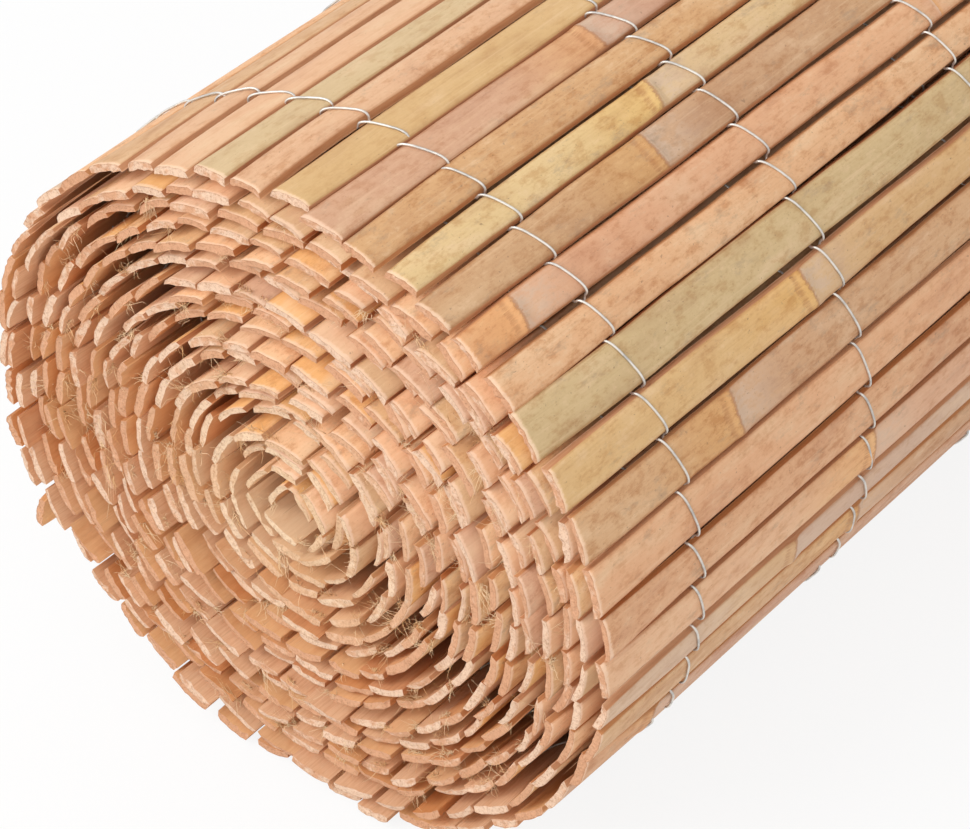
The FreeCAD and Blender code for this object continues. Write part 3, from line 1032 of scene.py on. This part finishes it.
class FENCE_OT_fray_ends(bpy.types.Operator):
    """Grow torn fibres from the slats' sawn ends"""
    bl_idname = "fence.fray_ends"
    bl_label = "Fray ends"

    STEPS = 5
    SIDES = 3
    TUFT = 14
    TAPER = 0.7

    # Where tufts and their fibres root, in shares of a slat's width and thickness, and how deep.
    TUFT_ACROSS = 0.48
    FIBRE_ACROSS = 0.1
    TUFT_OUTWARD = (-0.5, 0.2)
    FIBRE_OUTWARD = 0.16
    MOST_OUTWARD = 1.1 * MM
    ROOT_DEPTH = 1.4 * MM

    # Lengths come from a gamma curve and are clipped.
    REACH_SHAPE = 2.4
    REACH_SCALE = 0.7 * MM
    REACH = (1.5 * MM, 3.4 * MM)

    # Directions, in shares of the length: of tufts, of fibres, and along the roll.
    TUFT_LEAN = 0.5
    FIBRE_LEAN = 0.4
    STRAIGHT = 0.7
    TUFT_CURL = 0.6
    FIBRE_CURL = 0.7
    STRAIGHT_CURL = 0.3
    KINK = 0.16
    FLOOR_GAP = 0.4 * MM

    def execute(self, context):
        """A fibre goes from its root as (lean * u + curl * u^2 + kink * sin(2 pi u)) * reach."""
        tones, sizes = settings()
        chance = np.random.default_rng(FIBRE_SEED)
        mat = Mat()
        count = sizes.fibre_count
        tuft = np.arange(count) // self.TUFT
        tufts = tuft[-1] + 1
        end, root = self.roots(mat, chance, tuft, tufts, count)
        reach = chance.gamma(self.REACH_SHAPE, self.REACH_SCALE, count).clip(*self.REACH)
        lean = chance.normal(0, self.TUFT_LEAN, (tufts, 3))[tuft]
        lean = lean + chance.normal(0, self.FIBRE_LEAN, (count, 3))
        lean[:, 1] = self.STRAIGHT * end
        lean /= np.linalg.norm(lean, axis=1, keepdims=True)
        curl = chance.normal(0, self.TUFT_CURL, (tufts, 3))[tuft]
        curl = curl + chance.normal(0, self.FIBRE_CURL, (count, 3))
        curl[:, 1] *= self.STRAIGHT_CURL
        kink = chance.normal(0, self.KINK, (count, 3))
        u = np.linspace(0, 1, self.STEPS)[None, :, None]
        reach = reach[:, None, None]
        paths = root[:, None] + lean[:, None] * reach * u + curl[:, None] * reach * u ** 2
        paths = paths + kink[:, None] * reach * np.sin(math.tau * u)
        paths[..., 2] = np.maximum(paths[..., 2], self.FLOOR_GAP)
        radii = np.broadcast_to(sizes.fibre_radius * (1 - self.TAPER * u[..., 0]), paths.shape[:2])
        groups = [tubes(paths, radii, self.SIDES)]
        thing = add_tubes("frayed_fibres", groups, fibre_material(tones))
        return {"FINISHED"}

    def roots(self, mat, chance, tuft, tufts, count):
        """Each fibre's end of the roll, as -1 or 1, and its root below the sawn face."""
        inside = np.count_nonzero(mat.turn < OUTER_TURN - 1)
        slat = chance.integers(0, inside, tufts)[tuft]
        end = chance.choice((-1.0, 1.0), tufts)[tuft]
        across = chance.uniform(-self.TUFT_ACROSS, self.TUFT_ACROSS, tufts)[tuft]
        across = (across + chance.normal(0, self.FIBRE_ACROSS, count)) * mat.width[slat]
        outward = chance.uniform(*self.TUFT_OUTWARD, tufts)[tuft]
        outward = (outward + chance.normal(0, self.FIBRE_OUTWARD, count)) * mat.thickness[slat]
        outward = outward.clip(-self.MOST_OUTWARD, self.MOST_OUTWARD)
        flat = mat.middle[slat] + mat.tangent[slat] * across[:, None]
        flat = flat + mat.normal[slat] * outward[:, None]
        high = np.where(end < 0, mat.front[slat], mat.front[slat] + SLAT_LENGTH)
        root = np.stack((flat[:, 0], high - end * self.ROOT_DEPTH, flat[:, 1]), axis=1)
        return end, root


class FENCE_OT_set_stage(bpy.types.Operator):
    """Set the white floor, the soft light and the camera"""
    bl_idname = "fence.set_stage"
    bl_label = "Set stage"

    # The floor's grey, the share of plain white in what the camera sees of it, and the
    # surrounding's strength as a light.
    WHITE = (1.0, 1.0, 1.0, 1.0)
    FLOOR_COLOUR = (0.86, 0.86, 0.86, 1.0)
    FLOOR_PLAIN = 0.86
    SKY = 0.74
    SENSOR = 36
    CLIP_START = 0.05

    def execute(self, context):
        stage = context.scene.fence_stage
        context.scene.view_settings.view_transform = "Standard"
        self.add_floor(stage)
        self.add_light()
        self.add_camera(context, stage)
        return {"FINISHED"}

    def add_floor(self, stage):
        """A white floor that the camera sees nearly plain, with the roll's soft shadow kept."""
        half = stage.floor_size / 2
        mesh = bpy.data.meshes.new("floor")
        corners = [(-half, -half, 0), (half, -half, 0), (half, half, 0), (-half, half, 0)]
        mesh.from_pydata(corners, [], [(0, 1, 2, 3)])
        floor = bpy.data.objects.new("floor", mesh)
        bpy.context.scene.collection.objects.link(floor)
        paint = Shader(bpy.data.materials.new("floor"))
        share = self.seen(paint) * self.FLOOR_PLAIN
        lit = paint.node("ShaderNodeBsdfDiffuse", sockets={"Color": self.FLOOR_COLOUR})
        plain = paint.node("ShaderNodeEmission", sockets={"Color": self.WHITE, "Strength": 1.0})
        surface = paint.node("ShaderNodeMixShader", sockets={0: share, 1: lit, 2: plain})
        paint.node("ShaderNodeOutputMaterial", sockets={"Surface": surface})
        mesh.materials.append(paint.owner)

    @staticmethod
    def seen(paint):
        """1 for rays from the camera, and for those that are mirrored or let through."""
        camera = paint.node("ShaderNodeLightPath", output="Is Camera Ray")
        outputs = camera.socket.node.outputs
        glossy = Value(paint, outputs["Is Glossy Ray"])
        through = Value(paint, outputs["Is Transmission Ray"])
        return camera.most(glossy).most(through)

    def add_light(self):
        """An even white surrounding, a wide soft lamp from the upper left and a weak one right."""
        world = bpy.data.worlds.new("studio")
        bpy.context.scene.world = world
        paint = Shader(world)
        strength = self.SKY + self.seen(paint) * (1 - self.SKY)
        sky = paint.node(
            "ShaderNodeBackground", sockets={"Color": self.WHITE, "Strength": strength})
        paint.node("ShaderNodeOutputWorld", sockets={"Surface": sky})
        self.add_lamp("key", place=(-0.65, -1.9, 1.6), size=1.6, power=35)
        self.add_lamp("fill", place=(1.2, -1.7, 0.9), size=1.6, power=7.5)

    @staticmethod
    def add_lamp(name, place, size, power):
        """A round lamp, sizes in metres and power in watts, that points at the origin."""
        data = bpy.data.lights.new(name, "AREA")
        data.shape = "DISK"
        data.size = size
        data.energy = power
        lamp = bpy.data.objects.new(name, data)
        lamp.location = place
        lamp.rotation_euler = (-Vector(place)).to_track_quat("-Z", "Y").to_euler()
        bpy.context.scene.collection.objects.link(lamp)

    def add_camera(self, context, stage):
        """The camera looks from the front right and above at the front end."""
        sine, cosine = math.sin(stage.azimuth), math.cos(stage.azimuth)
        back = Vector((sine, -cosine, 0)) * math.cos(stage.elevation)
        back.z = math.sin(stage.elevation)
        right = Vector((cosine, sine, 0))
        up = back.cross(right)
        low, high = CAD_BOX
        middle = Vector(((low.x + high.x) / 2, -SLAT_LENGTH / 2, (low.z + high.z) / 2))
        data = bpy.data.cameras.new("camera")
        data.lens = stage.lens
        data.sensor_width = self.SENSOR
        data.clip_start = self.CLIP_START
        camera = bpy.data.objects.new("camera", data)
        turn = Matrix((right, up, back)).transposed()
        place = middle + right * stage.aim_right + up * stage.aim_up + back * stage.distance
        camera.matrix_world = Matrix.LocRotScale(place, turn.to_quaternion(), None)
        context.scene.collection.objects.link(camera)
        context.scene.camera = camera


class FENCE_PT_panel(bpy.types.Panel):
    """Buttons and settings of the rolled fence"""
    bl_idname = "FENCE_PT_panel"
    bl_label = "Rolled bamboo fence"
    bl_space_type = "VIEW_3D"
    bl_region_type = "UI"
    bl_category = "Fence"

    def draw(self, context):
        scene = context.scene
        for operator in OPERATORS:
            self.layout.operator(operator.bl_idname)
        for group in (scene.fence_sizes, scene.fence_stage, scene.fence_tones):
            column = self.layout.column(align=True)
            for name in group.bl_rna.properties.keys():
                if name not in ("rna_type", "name"):
                    column.prop(group, name)


OPERATORS = (FENCE_OT_lay_slats, FENCE_OT_twine_wire, FENCE_OT_fray_ends, FENCE_OT_set_stage)
CLASSES = (FenceTones, FenceSizes, FenceStage, *OPERATORS, FENCE_PT_panel)


def register():
    for item in CLASSES:
        bpy.utils.register_class(item)
    bpy.types.Scene.fence_tones = bpy.props.PointerProperty(type=FenceTones)
    bpy.types.Scene.fence_sizes = bpy.props.PointerProperty(type=FenceSizes)
    bpy.types.Scene.fence_stage = bpy.props.PointerProperty(type=FenceStage)


def unregister():
    del bpy.types.Scene.fence_stage
    del bpy.types.Scene.fence_sizes
    del bpy.types.Scene.fence_tones
    for item in reversed(CLASSES):
        bpy.utils.unregister_class(item)


def main():
    register()
    bpy.ops.fence.lay_slats()
    bpy.ops.fence.twine_wire()
    bpy.ops.fence.fray_ends()
    bpy.ops.fence.set_stage()


if __name__ == "__main__":
    main()
